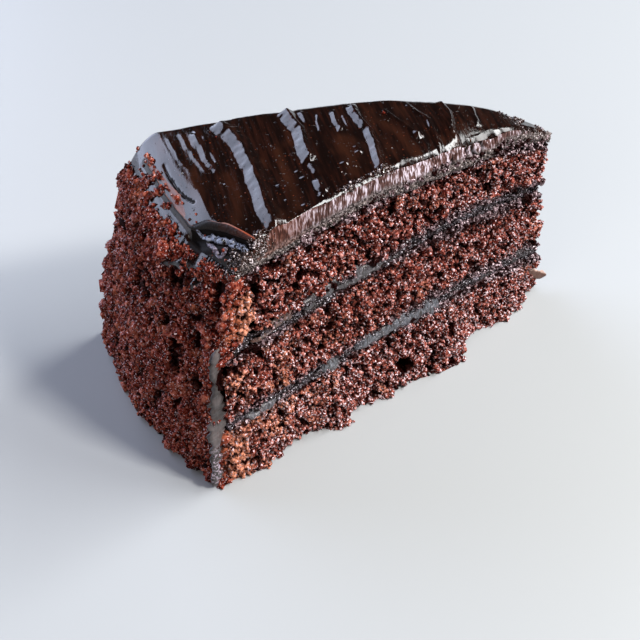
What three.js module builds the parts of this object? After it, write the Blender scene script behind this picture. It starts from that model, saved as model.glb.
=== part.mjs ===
// A slice of a round chocolate layer cake: three sponges, two fillings, a ridged top coat of
// ganache and a side coat rough with pressed-on crumbs. Each is one closed solid.
//
// Plan places are [along, into]: `along` runs down the near cut from the outer corner to the tip,
// and `into` runs square to it, into the cake. Heights are measured from the base. The finished
// slice points along +X and stands on its base, centred on the origin.
import * as THREE from "three";

// Driving dimensions, in millimetres.
const cutLength = 122; // the near cut at the base, outer corner to tip
const farCorner = [7.6, 68]; // the far cut's outer corner at the base
const sliceHeight = 77;
const wallBulge = 6; // how far the round wall stands over its chord
const wallLean = { from: 32, to: 60, by: 5.8 }; // the wall leans in between these heights
const shoulder = { from: 62, to: 75, by: 8, power: 1.5 }; // and rounds over into the top between these
const farWall = { to: 45, by: 5.4 }; // at its far corner it leans in this much more below this height
const farLean = 12.5; // the far cut's outer corner leans in this much at full height
const farLeanPower = 1.3; // and its lean fades towards the tip
const tip = { width: 3, lean: 7.5, leanTop: 45 };
const coatThickness = 3.6;
const gap = 0.3; // between touching solids

// The sheets that part the layers, from the base up. A sheet arches in the middle of the slice,
// drops towards the tip and is a little wavy.
const sheets = [
  { level: 0, arch: 0, drop: 0, wave: 0 },
  { level: 20.4, arch: 0.8, drop: 6.4, wave: 0.7 },
  { level: 24.0, arch: 0.9, drop: 6.8, wave: 0.6 },
  { level: 43.7, arch: 3.5, drop: 5.4, wave: 0.7 },
  { level: 47.3, arch: 3.6, drop: 5.7, wave: 0.6 },
  { level: 69.0, arch: 1.7, drop: 13.5, wave: 0.5 },
];
const top = { level: 75.6, arch: 1.7, drop: 20, wave: 0.3 };
const rim = { height: 74.6, round: 5 }; // the top falls to its rim over the wall in this distance
const dropPower = 5;
const waveSize = 14;

// Spatula ridges on the top: where each meets the near cut, its height and its half width.
const ridges = [
  { at: 8.4, height: 0.8, width: 2.4 },
  { at: 13.5, height: 0.5, width: 1.6 },
  { at: 18.5, height: 1.9, width: 2.6 },
  { at: 34.8, height: 1.4, width: 2.2 },
  { at: 46.5, height: 0.9, width: 1.8 },
  { at: 53, height: 1.2, width: 1.8 },
  { at: 69, height: 1.3, width: 2.0 },
  { at: 76.5, height: 0.9, width: 1.6 },
  { at: 85, height: 1.1, width: 2.2 },
];
const ridgeSlant = { wall: 0.2, tip: 0.47, from: 8, to: 20 }; // along for each mm into the cake
const cornerLip = { from: [7, 11], to: [13, 0], height: 1.6, width: 1.6 };

// Crumbling sponge that stands proud of the near cut at its foot.
const footLumps = [
  { at: 13, reach: 2.4, width: 6 },
  { at: 38, reach: 5, width: 4.5 },
  { at: 57, reach: 4.3, width: 9 },
  { at: 68, reach: 3, width: 6 },
  { at: 79, reach: 8.5, width: 8 },
  { at: 106, reach: 4, width: 9 },
];
const footHeight = 19;
const footPower = 1.3;

// Relief of the cut faces and of the crumbed wall.
const relief = { sponge: 0.8, filling: 0.35, crumbCoat: 0.75, grooves: 0.9 };
const crumbSize = 3.2;
const fineShare = 0.6; // crumbs half that size, as a share of the large ones' relief
const grooveSpacing = 7.5;
const grooveLength = 4; // a groove's length over its spacing
const sheetFade = 5; // how fast a layer's relief grows away from its sheets
const cornerFade = 12; // and the wall's away from its two corners
const seeds = { sheet: 5, coarse: 11, fine: 12, grooves: 21 };

// How finely each direction is divided.
const cutSteps = 44;
const wallSteps = 20;
const rowWidth = 52; // a row across the top this wide has as many steps as the wall
const bowedShare = 0.3; // rows this far down the slice lose the wall's bow
const farSlide = { by: 0.19, within: 0.06 }; // the far cut's shares move on by this, near its corner
const rings = { sponge: 7, filling: 2, topCoat: 4, wallOutside: 22, wallInside: 22 };

const sponge = { colour: 0x4a2018, roughness: 0.9 };
const filling = { colour: 0x2b2428, roughness: 0.45 };
const ganache = { colour: 0x1c100d, roughness: 0.2 };
const crumbCoat = { colour: 0x3a1a14, roughness: 0.85 };

const clamp = THREE.MathUtils.clamp;
const lerp = THREE.MathUtils.lerp;
const smoothstep = THREE.MathUtils.smoothstep;

// A seeded random value in -1..1 for each point of a whole-number lattice.
function latticeValue(x, y, z, seed) {
  let h = Math.imul(x, 374761393) ^ Math.imul(y, 668265263) ^ Math.imul(z, 2147483647);
  h = Math.imul(h ^ Math.imul(seed, 974634777) ^ (h >>> 13), 1274126177);
  h = Math.imul(h ^ (h >>> 15), 2246822519);
  return ((h ^ (h >>> 16)) >>> 0) / 2147483647.5 - 1;
}

// Smooth noise in -1..1 whose lumps are about `size` across.
function noise(x, y, z, size, seed) {
  const cell = [x, y, z].map((value) => Math.floor(value / size));
  const part = [x, y, z].map((value, i) => {
    const f = value / size - cell[i];
    return f * f * (3 - 2 * f);
  });
  let sum = 0;
  for (let corner = 0; corner < 8; corner++) {
    const step = [corner & 1, (corner >> 1) & 1, corner >> 2];
    const weight = step.reduce((product, on, i) => product * (on ? part[i] : 1 - part[i]), 1);
    sum += weight * latticeValue(cell[0] + step[0], cell[1] + step[1], cell[2] + step[2], seed);
  }
  return sum;
}

// How far down the slice a place is: 0 at the wall, 1 at the tip.
function shareToTip([along, into]) {
  return clamp(1 - Math.hypot(cutLength - along, into) / cutLength, 0, 1);
}

function sheetHeight(sheet, place) {
  const share = shareToTip(place);
  const wave = sheet.wave * noise(place[0], place[1], 0, waveSize, seeds.sheet);
  return sheet.level + sheet.arch * Math.sin(Math.PI * share) - sheet.drop * share ** dropPower + wave;
}

// How far in the wall is at a height; `across` goes from 0 at the near corner to 1 at the far one.
function wallInset(height, across) {
  const lean = wallLean.by * smoothstep(height, wallLean.from, wallLean.to);
  const over = Math.max(0, height - shoulder.from) / (shoulder.to - shoulder.from);
  const extra = farWall.by * across * smoothstep(height, 0, farWall.to);
  return lean + extra + shoulder.by * over ** shoulder.power;
}

function tipCorner(height) {
  return cutLength - tip.lean * smoothstep(height, 0, tip.leanTop);
}

const wedgeAngle = Math.atan2(farCorner[1], cutLength - farCorner[0]);

// The direction of the far cut in plan, from its outer corner to the tip.
const farLength = Math.hypot(cutLength - farCorner[0], farCorner[1]);
const farWay = [(cutLength - farCorner[0]) / farLength, -farCorner[1] / farLength];

function nearCorner(height, inward) {
  return [wallInset(height, 0) + inward, 0];
}

function farOuterCorner(height, inward) {
  const slide = wallInset(height, 1) + inward;
  const lean = (farLean * height) / sliceHeight;
  return [
    farCorner[0] + farWay[0] * slide + farWay[1] * lean,
    farCorner[1] + farWay[1] * slide - farWay[0] * lean,
  ];
}

// A place on the wall, `inward` from its outside.
function wallPlace(height, across, inward) {
  const near = nearCorner(height, inward);
  const far = farOuterCorner(height, inward);
  const chord = Math.hypot(far[0] - near[0], far[1] - near[1]);
  const bulge = 4 * wallBulge * across * (1 - across);
  return [
    lerp(near[0], far[0], across) - (bulge * (far[1] - near[1])) / chord,
    lerp(near[1], far[1], across) + (bulge * (far[0] - near[0])) / chord,
  ];
}

// Sponge that has sagged out at the foot of the near cut.
function footBulge(along, height) {
  const rise = clamp(1 - height / footHeight, 0, 1) ** footPower;
  const lumps = footLumps.map((lump) => lump.reach * Math.exp(-(((along - lump.at) / lump.width) ** 2)));
  return rise * lumps.reduce((sum, lump) => sum + lump, 0);
}

function crumbRelief(along, into, height, amount) {
  const coarse = noise(along, into, height, crumbSize, seeds.coarse);
  const fine = noise(along, into, height, crumbSize / 2, seeds.fine);
  return amount * (coarse + fineShare * fine);
}

// How far a place on the top is from the rim over the wall.
function rimDistance([along, into]) {
  const near = nearCorner(rim.height, 0);
  const far = farOuterCorner(rim.height, 0);
  const chord = [far[0] - near[0], far[1] - near[1]];
  const travel = (along - near[0]) * chord[0] + (into - near[1]) * chord[1];
  const across = clamp(travel / (chord[0] ** 2 + chord[1] ** 2), 0, 1);
  const edge = wallPlace(rim.height, across, 0);
  return Math.hypot(along - edge[0], into - edge[1]);
}

function ridgeHeight([along, into]) {
  const heights = ridges.map((ridge) => {
    const turned = smoothstep(ridge.at, ridgeSlant.from, ridgeSlant.to);
    const slant = lerp(ridgeSlant.wall, ridgeSlant.tip, turned);
    return ridge.height * Math.exp(-(((along - ridge.at - slant * into) / ridge.width) ** 2));
  });
  return heights.reduce((sum, height) => sum + height, 0);
}

// The ganache curls up along a short line across the near outer corner.
function lipHeight([along, into]) {
  const way = [cornerLip.to[0] - cornerLip.from[0], cornerLip.to[1] - cornerLip.from[1]];
  const reach = [along - cornerLip.from[0], into - cornerLip.from[1]];
  const share = clamp((reach[0] * way[0] + reach[1] * way[1]) / (way[0] ** 2 + way[1] ** 2), 0, 1);
  const away = Math.hypot(reach[0] - share * way[0], reach[1] - share * way[1]);
  return cornerLip.height * Math.exp(-((away / cornerLip.width) ** 2));
}

function topHeight(place) {
  const inside = 1 - clamp(rimDistance(place) / rim.round, 0, 1);
  const height = sheetHeight(top, place) + ridgeHeight(place);
  return lerp(height, rim.height, inside ** 2) + lipHeight(place);
}

// A place on the near cut; `share` goes from 0 at the outer corner to 1 at the tip.
function nearPlace(height, share, inward, amount) {
  const along = lerp(nearCorner(height, inward)[0], tipCorner(height), share);
  const out = footBulge(along, height) + crumbRelief(along, 0, height, amount);
  return [along, -out];
}

// The far cut's shares are shifted towards the tip, so that lines across the top slant as its
// ridges do.
function farShare(share) {
  return share + farSlide.by * (1 - share) * (1 - Math.exp(-share / farSlide.within));
}

function farPlace(height, share, inward, amount) {
  const outer = farOuterCorner(height, inward);
  const inner = [tipCorner(height) - 1, tip.width];
  const moved = farShare(share);
  const along = lerp(outer[0], inner[0], moved);
  const into = lerp(outer[1], inner[1], moved);
  const lean = (farLean * height) / sliceHeight;
  const bow = lean * (1 - moved - (1 - moved ** farLeanPower));
  const out = bow + crumbRelief(along, into, height, amount);
  return [along - farWay[1] * out, into + farWay[0] * out];
}

// The slice's outline at a height, run round from the near outer corner by the tip and the far
// cut: `inward` from the wall's outside, with cut faces as rough as `amount`.
function outlinePlace(index, height, inward, amount) {
  if (index <= cutSteps) return nearPlace(height, index / cutSteps, inward, amount);
  const back = index - cutSteps - 1;
  if (back <= cutSteps) return farPlace(height, 1 - back / cutSteps, inward, amount);
  return wallPlace(height, 1 - (back - cutSteps) / wallSteps, inward);
}
const outlineCount = 2 * cutSteps + 1 + wallSteps;
const inset = coatThickness + gap;

// The point where a column of the outline, whose plan place shifts with height, meets a surface.
function meet(surface, level, placeAt, lift) {
  let height = level;
  let place = placeAt(height);
  for (let pass = 0; pass < 4; pass++) {
    height = surface(place);
    place = placeAt(height);
  }
  return [place[0], place[1], height + lift];
}

function meetSheet(sheet, placeAt, lift) {
  return meet((place) => sheetHeight(sheet, place), sheet.level, placeAt, lift);
}

// Points up a column between its two ends, at even heights.
function column(low, high, steps, placeAt) {
  return Array.from({ length: steps + 1 }, (_, i) => {
    if (i === 0) return low;
    if (i === steps) return high;
    const height = lerp(low[2], high[2], i / steps);
    return [...placeAt(height, i / steps), height];
  });
}

// Collects points and triangles, then makes a closed mesh of them.
class Shell {
  constructor() {
    this.points = [];
    this.faces = [];
  }
  add(point) {
    this.points.push(point);
    return this.points.length - 1;
  }
  addAll(points) {
    return points.map((point) => this.add(point));
  }
  // Joins two rows of points, of any counts; `right` lies to the right of `left` from outside.
  strip(left, right) {
    let i = 0;
    let j = 0;
    while (i + 1 < left.length || j + 1 < right.length) {
      const leftNext = (i + 1) / (left.length - 1);
      const rightNext = (j + 1) / (right.length - 1);
      if (rightNext <= leftNext) {
        this.faces.push([left[i], right[j], right[j + 1]]);
        j++;
      } else {
        this.faces.push([left[i], right[j], left[i + 1]]);
        i++;
      }
    }
  }
  // Fills an outline that lies nearly flat and runs anticlockwise from above.
  cap(row, up) {
    const contour = row.map((i) => new THREE.Vector2(this.points[i][0], this.points[i][1]));
    for (const corners of THREE.ShapeUtils.triangulateShape(contour, [])) {
      const face = corners.map((corner) => row[corner]);
      this.faces.push(up ? face : face.reverse());
    }
  }
  mesh(name, finish) {
    const turn = wedgeAngle / 2;
    const places = this.points.flatMap(([along, into, height]) => [
      along * Math.cos(turn) - into * Math.sin(turn),
      along * Math.sin(turn) + into * Math.cos(turn),
      height,
    ]);
    const geometry = new THREE.BufferGeometry();
    geometry.setAttribute("position", new THREE.Float32BufferAttribute(places, 3));
    geometry.setIndex(this.faces.flat());
    geometry.computeVertexNormals();
    const material = new THREE.MeshStandardMaterial({
      color: finish.colour,
      roughness: finish.roughness,
      metalness: 0,
    });
    const mesh = new THREE.Mesh(geometry, material);
    mesh.name = name;
    return mesh;
  }
}

// A sponge or a filling: all of the slice from one sheet up to the next, inside the side coat.
function layer(name, below, steps, amount, finish) {
  const shell = new Shell();
  const columns = Array.from({ length: outlineCount }, (_, index) => {
    const edge = (height) => outlinePlace(index, height, inset, relief.filling);
    const low = meetSheet(sheets[below], edge, below === 0 ? 0 : gap / 2);
    const high = meetSheet(sheets[below + 1], edge, -gap / 2);
    const placeAt = (height, share) => {
      const rough = lerp(relief.filling, amount, Math.min(1, sheetFade * share * (1 - share)));
      return outlinePlace(index, height, inset, rough);
    };
    return shell.addAll(column(low, high, steps, placeAt));
  });
  columns.forEach((left, i) => shell.strip(left, columns[(i + 1) % columns.length]));
  shell.cap(columns.map((points) => points[0]), false);
  shell.cap(columns.map((points) => points[steps]), true);
  return shell.mesh(name, finish);
}

// Crumbs and upright grooves on the outside of the wall.
function coatRelief([along, into], height, across) {
  const arc = across * farCorner[1];
  const lumps = crumbRelief(along, into, height, 1);
  const grooves = noise(arc, height / grooveLength, 0, grooveSpacing, seeds.grooves);
  const fade = 1 - smoothstep(height, wallLean.to, rim.height);
  return fade * (relief.crumbCoat * lumps + relief.grooves * grooves);
}

// The outside of the wall with its relief; `across` as in wallPlace.
function crumbedWall(height, across) {
  const place = wallPlace(height, across, 0);
  const edgeFade = Math.min(1, cornerFade * across, cornerFade * (1 - across));
  return wallPlace(height, across, -edgeFade * coatRelief(place, height, across));
}

// The side coat, from the base up to the sheet under the top coat.
function sideCoat(name, finish) {
  const shell = new Shell();
  const roof = sheets.at(-1);
  const upright = (across, steps, placeAt) => {
    const low = [...placeAt(0), 0];
    const high = meetSheet(roof, placeAt, -gap / 2);
    return shell.addAll(column(low, high, steps, placeAt));
  };
  const acrosses = Array.from({ length: wallSteps + 1 }, (_, k) => 1 - k / wallSteps);
  const outside = acrosses.map((across) =>
    upright(across, rings.wallOutside, (height) => crumbedWall(height, across)),
  );
  const inside = acrosses.map((across) =>
    upright(across, rings.wallInside, (height) => wallPlace(height, across, coatThickness)),
  );
  for (let k = 0; k < wallSteps; k++) {
    shell.strip(outside[k], outside[k + 1]);
    shell.strip(inside[k + 1], inside[k]);
  }
  shell.strip(inside[0], outside[0]);
  shell.strip(outside[wallSteps], inside[wallSteps]);
  const feet = (columns) => columns.map((points) => points[0]);
  const heads = (columns) => columns.map((points) => points.at(-1));
  shell.strip(feet(outside), feet(inside));
  shell.strip(heads(inside), heads(outside));
  return shell.mesh(name, finish);
}

// The top coat: all above the top sponge and the side coat.
function topCoat(name, finish) {
  const shell = new Shell();
  const floor = sheets.at(-1);
  const upright = (placeAt) => {
    const low = meetSheet(floor, placeAt, gap / 2);
    const high = meet(topHeight, top.level, placeAt, 0);
    return shell.addAll(column(low, high, rings.topCoat, placeAt));
  };
  const cutColumn = (index) => upright((height) => outlinePlace(index, height, inset, relief.filling));
  const near = Array.from({ length: cutSteps + 1 }, (_, i) => cutColumn(i));
  const far = Array.from({ length: cutSteps + 1 }, (_, i) => cutColumn(2 * cutSteps + 1 - i));
  const wall = Array.from({ length: wallSteps + 1 }, (_, k) =>
    upright((height) => crumbedWall(height, k / wallSteps)),
  );
  const round = [wall[0], ...near, ...far.toReversed(), ...wall.toReversed()];
  round.slice(1).forEach((right, i) => shell.strip(round[i], right));

  const innerWall = Array.from({ length: wallSteps - 1 }, (_, k) => {
    const across = (k + 1) / wallSteps;
    return shell.add(meetSheet(floor, (height) => wallPlace(height, across, inset), gap / 2));
  });
  const feet = (columns) => columns.map((points) => points[0]);
  const back = innerWall.toReversed();
  shell.cap([...feet(near), ...feet(far.toReversed()), ...back], false);
  const innerRow = [far[0][0], ...back, near[0][0]];
  shell.strip(feet(wall.toReversed()), innerRow);

  let row = wall.map((points) => points.at(-1));
  near.forEach((nearColumn, i) => {
    const next = topRow(shell, nearColumn.at(-1), far[i].at(-1), i / cutSteps);
    shell.strip(row, next);
    row = next;
  });
  return shell.mesh(name, finish);
}

// A row of points across the top from the near cut to the far one, bowed like the wall beside it.
function topRow(shell, nearPoint, farPoint, share) {
  const [a, b] = [shell.points[nearPoint], shell.points[farPoint]];
  const width = Math.hypot(b[0] - a[0], b[1] - a[1]);
  const steps = Math.max(1, Math.round((wallSteps * width) / rowWidth));
  const bow = wallBulge * Math.max(0, 1 - share / bowedShare);
  const inner = Array.from({ length: steps - 1 }, (_, k) => {
    const across = (k + 1) / steps;
    const bulge = 4 * bow * across * (1 - across);
    const place = [
      lerp(a[0], b[0], across) - (bulge * (b[1] - a[1])) / width,
      lerp(a[1], b[1], across) + (bulge * (b[0] - a[0])) / width,
    ];
    return shell.add([...place, topHeight(place)]);
  });
  return [nearPoint, ...inner, farPoint];
}

const slice = new THREE.Group();
slice.name = "chocolate_cake_slice";
slice.add(
  layer("sponge_bottom", 0, rings.sponge, relief.sponge, sponge),
  layer("filling_lower", 1, rings.filling, relief.filling, filling),
  layer("sponge_middle", 2, rings.sponge, relief.sponge, sponge),
  layer("filling_upper", 3, rings.filling, relief.filling, filling),
  layer("sponge_top", 4, rings.sponge, relief.sponge, sponge),
  topCoat("ganache_top", ganache),
  sideCoat("crumb_coat_side", crumbCoat),
);

const box = new THREE.Box3().setFromObject(slice);
const middle = box.getCenter(new THREE.Vector3());
for (const mesh of slice.children) mesh.geometry.translate(-middle.x, -middle.y, -box.min.z);

export default slice;
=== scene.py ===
import math

import bpy
import numpy as np
from mathutils import Matrix, Vector


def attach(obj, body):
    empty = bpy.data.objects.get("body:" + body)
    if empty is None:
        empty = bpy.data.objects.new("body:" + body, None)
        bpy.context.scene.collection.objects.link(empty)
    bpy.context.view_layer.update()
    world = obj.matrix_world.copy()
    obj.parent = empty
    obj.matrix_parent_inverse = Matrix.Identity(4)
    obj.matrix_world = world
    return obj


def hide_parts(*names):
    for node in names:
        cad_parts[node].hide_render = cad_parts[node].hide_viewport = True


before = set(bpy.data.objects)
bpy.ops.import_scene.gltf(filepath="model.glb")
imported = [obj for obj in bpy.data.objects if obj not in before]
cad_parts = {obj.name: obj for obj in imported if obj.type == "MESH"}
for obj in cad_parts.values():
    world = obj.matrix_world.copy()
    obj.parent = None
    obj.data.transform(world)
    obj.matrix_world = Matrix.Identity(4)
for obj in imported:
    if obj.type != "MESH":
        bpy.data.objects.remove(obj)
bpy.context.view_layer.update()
mm = 0.001


# colours and shader maths

def tint(code):
    # an RRGGBB screen colour as the linear RGBA that shaders take
    shades = [int(code[i:i + 2], 16) / 255 for i in (0, 2, 4)]
    return [s / 12.92 if s < 0.04045 else ((s + 0.055) / 1.055) ** 2.4 for s in shades] + [1.0]


class Wire:
    # a shader socket that Python arithmetic adds Math nodes to
    def __init__(self, finish, socket):
        self.finish = finish
        self.socket = socket

    def calc(self, operation, *values):
        return self.finish.node("Math", {"operation": operation}, values)

    def __add__(self, other):
        return self.calc("ADD", self, other)

    def __sub__(self, other):
        return self.calc("SUBTRACT", self, other)

    def __rsub__(self, other):
        return self.calc("SUBTRACT", other, self)

    def __mul__(self, other):
        return self.calc("MULTIPLY", self, other)

    __radd__ = __add__
    __rmul__ = __mul__


class Finish:
    # a material under way; colours are given as RRGGBB codes
    def __init__(self, name, **shader):
        self.material = bpy.data.materials.new(name)
        self.material.use_nodes = True
        self.tree = self.material.node_tree
        self.shader = self.tree.nodes["Principled BSDF"]
        self.set(**shader)
        self.place = self.node("TexCoord", {}, {}, "Object")

    def join(self, socket, value):
        if isinstance(value, Wire):
            self.tree.links.new(value.socket, socket)
        else:
            socket.default_value = tint(value) if isinstance(value, str) else value

    def set(self, **sockets):
        for name, value in sockets.items():
            self.join(self.shader.inputs[name.replace("_", " ")], value)

    def node(self, kind, settings, inputs, output=0):
        made = self.tree.nodes.new("ShaderNode" + kind)
        for name, value in settings.items():
            setattr(made, name, value)
        for key, value in inputs.items() if isinstance(inputs, dict) else enumerate(inputs):
            self.join(made.inputs[key], value)
        return Wire(self, made.outputs[output])

    def noise(self, size, detail=2, longer=(1, 1, 1), turn=0):
        # random values about 0.5 in lumps of a size in mm, stretched along axes turned about Z
        place = self.place
        if longer != (1, 1, 1):
            inputs = {"Vector": place, "Rotation": (0, 0, math.radians(turn)), "Scale": longer}
            place = self.node("Mapping", {"vector_type": "TEXTURE"}, inputs)
        inputs = {"Vector": place, "Scale": 1 / (size * mm), "Detail": detail, "Roughness": 0.6}
        return self.node("TexNoise", {}, inputs)

    def grain(self, size, detail=3, share=0.2):
        # noise that also differs from crumb to crumb
        return self.noise(size, detail) + share * (self.attribute("tone") - 0.5)

    def rise(self, value, low, high):
        # 0 below low, 1 above high, smooth between
        return self.node("MapRange", {"interpolation_type": "SMOOTHSTEP"}, [value, low, high])

    def patches(self, size, detail, low, high, *stretch):
        # noise as patches, 0 between them and 1 within
        return self.rise(self.noise(size, detail, *stretch), low, high)

    def blend(self, share, first, second):
        inputs = {0: share, 6: first, 7: second}
        return self.node("Mix", {"data_type": "RGBA"}, inputs, 2)

    def shade(self, value, low, high, first, second):
        # the first colour where the value is low, turning to the second
        return self.blend(self.rise(value, low, high), first, second)

    def attribute(self, name):
        return self.node("Attribute", {"attribute_name": name}, {}, "Fac")

    def paint(self, colour, height, distance, **sockets):
        # a colour, and bumps of a height times a distance in mm
        bump = self.node("Bump", {}, {"Height": height, "Distance": distance * mm})
        self.set(Base_Color=colour, Normal=bump, **sockets)
        return self


# numbers

def mix(a, b, share):
    return a + (b - a) * share


def smooth(value, low, high):
    share = np.clip((value - low) / (high - low), 0, 1)
    return share * share * (3 - 2 * share)


def bell(value, middle, width, power=2):
    # 1 in the middle, falling away to both sides
    return np.exp(-((value - middle) / width) ** power)


def waves(x, y, seed):
    # smooth random values in -1..1 over a plane, one lump to a unit
    table = np.random.default_rng(seed).uniform(-1, 1, (64, 64))
    column, row = np.floor(x).astype(int), np.floor(y).astype(int)
    u, v = x - column, y - row
    u, v = u * u * (3 - 2 * u), v * v * (3 - 2 * v)
    a, b, c, d = [table[(column + i) % 64, (row + j) % 64] for i, j in [(0, 0), (1, 0), (0, 1), (1, 1)]]
    return mix(mix(a, b, u), mix(c, d, u), v)


# places on the slice are (along, into, height) in millimetres from the near cut's outer corner:
# along runs down the near cut to the tip, into runs square to it, into the cake
slicePlan = {"corner": (-52.384, -33.792), "turn": math.radians(15.364)}


def onPart(along, into, height):
    (x, y), turn = slicePlan["corner"], slicePlan["turn"]
    x = x + along * math.cos(turn) - into * math.sin(turn)
    y = y + along * math.sin(turn) + into * math.cos(turn)
    return np.stack([x, y, height], -1) * mm


def onSlice(points):
    turn = slicePlan["turn"]
    x = points[:, 0] / mm - slicePlan["corner"][0]
    y = points[:, 1] / mm - slicePlan["corner"][1]
    along = x * math.cos(turn) + y * math.sin(turn)
    return along, y * math.cos(turn) - x * math.sin(turn), points[:, 2] / mm


def rowsOf(along, into, height):
    # rows of (along, into, height), where each may be one number for all rows
    return np.stack(np.broadcast_arrays(along, into, height), 1).astype(float)


# meshes

def pick(piece):
    bpy.ops.object.select_all(action="DESELECT")
    piece.select_set(True)
    bpy.context.view_layer.objects.active = piece


def editAll(piece):
    pick(piece)
    bpy.ops.object.mode_set(mode="EDIT")
    bpy.ops.mesh.select_all(action="SELECT")


def places(piece):
    flat = np.empty(len(piece.data.vertices) * 3)
    piece.data.vertices.foreach_get("co", flat)
    return flat.reshape(-1, 3)


def centresOf(piece):
    return np.array([face.center for face in piece.data.polygons])


def mark(piece, name, values):
    attribute = piece.data.attributes.new(name, "FLOAT", "POINT")
    attribute.data.foreach_set("value", np.broadcast_to(values, len(piece.data.vertices)).astype(float))


def trianglesOf(piece):
    piece.data.calc_loop_triangles()
    corners = np.empty(len(piece.data.loop_triangles) * 3, int)
    piece.data.loop_triangles.foreach_get("vertices", corners)
    return corners.reshape(-1, 3)


def marksOf(piece, name):
    # what a piece is marked with, at each triangle's first corner
    values = np.empty(len(piece.data.vertices))
    piece.data.attributes[name].data.foreach_get("value", values)
    return values[trianglesOf(piece)[:, 0]]


def meshPiece(name, points, faces):
    mesh = bpy.data.meshes.new(name)
    mesh.from_pydata(points.tolist(), [], faces)
    piece = bpy.data.objects.new(name, mesh)
    bpy.context.scene.collection.objects.link(piece)
    return piece


def copyOfNode(node, name):
    # a merged copy of a CAD solid, to be shaped here
    piece = bpy.data.objects.new(name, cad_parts[node].data.copy())
    bpy.context.scene.collection.objects.link(piece)
    piece.data.materials.clear()
    editAll(piece)
    bpy.ops.mesh.remove_doubles(threshold=0.01 * mm)
    bpy.ops.object.mode_set(mode="OBJECT")
    return piece


def choose(piece, faces):
    # leaves the piece in edit mode with these faces selected
    bpy.ops.object.mode_set(mode="EDIT")
    bpy.ops.mesh.select_mode(type="FACE")
    bpy.ops.mesh.select_all(action="DESELECT")
    bpy.ops.object.mode_set(mode="OBJECT")
    piece.data.polygons.foreach_set("select", faces)
    bpy.ops.object.mode_set(mode="EDIT")


def refine(piece, chosen, cuts):
    # subdivides the faces whose normal passes a test
    choose(piece, [chosen(face.normal) for face in piece.data.polygons])
    bpy.ops.mesh.subdivide(number_cuts=cuts)
    bpy.ops.object.mode_set(mode="OBJECT")


def evenOut(piece, faces, times):
    choose(piece, faces)
    bpy.ops.mesh.vertices_smooth(factor=0.5, repeat=times)
    bpy.ops.object.mode_set(mode="OBJECT")


def roughen(piece, layers, dents, calm=None):
    # adds relief, one displacement after another, and marks how far each point has moved;
    # dents gives more of it in mm, and calm the share that is taken back
    before = places(piece)
    normals = np.empty(len(before) * 3)
    piece.data.vertices.foreach_get("normal", normals)
    for layer in layers:
        texture = bpy.data.textures.new(piece.name, layer["pattern"])
        texture.noise_scale = layer["size"] * mm
        for key, value in layer.get("with", {}).items():
            setattr(texture, key, value)
        modifier = piece.modifiers.new("relief", "DISPLACE")
        modifier.texture = texture
        modifier.texture_coords = "LOCAL"
        modifier.strength = layer["height"] * mm
        modifier.mid_level = layer.get("middle", 0.5)
        bpy.ops.object.modifier_apply(modifier="relief")
    normals = normals.reshape(-1, 3)
    after = places(piece) + normals * dents(before)[:, None] * mm
    if calm:
        after = mix(after, before, calm(before)[:, None])
    after[:, 2] = np.maximum(after[:, 2], 0)
    piece.data.vertices.foreach_set("co", after.ravel())
    piece.data.update()
    mark(piece, "raised", ((after - before) * normals).sum(1) / mm)


def crumbShapes(kinds, seed):
    # a few knobbly crumbs, one unit in radius, as points and triangles
    shapes = []
    for kind in range(kinds):
        bpy.ops.mesh.primitive_cube_add(size=1.3)
        bpy.ops.object.mode_set(mode="EDIT")
        bpy.ops.transform.vertex_random(offset=0.5, uniform=0.4, seed=seed + kind)
        bpy.ops.mesh.quads_convert_to_tris()
        bpy.ops.object.mode_set(mode="OBJECT")
        crumb = bpy.context.object
        shapes.append((places(crumb), np.array([list(face.vertices) for face in crumb.data.polygons])))
        bpy.data.objects.remove(crumb)
    return shapes


def randomTurns(draw, count):
    # rotation matrices, from random quaternions
    turn = draw.standard_normal((count, 4))
    w, x, y, z = (turn / np.linalg.norm(turn, axis=1)[:, None]).T
    return np.array([
        [1 - 2 * (y * y + z * z), 2 * (x * y - z * w), 2 * (x * z + y * w)],
        [2 * (x * y + z * w), 1 - 2 * (x * x + z * z), 2 * (y * z - x * w)],
        [2 * (x * z - y * w), 2 * (y * z + x * w), 1 - 2 * (x * x + y * y)],
    ]).transpose(2, 0, 1)


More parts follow.
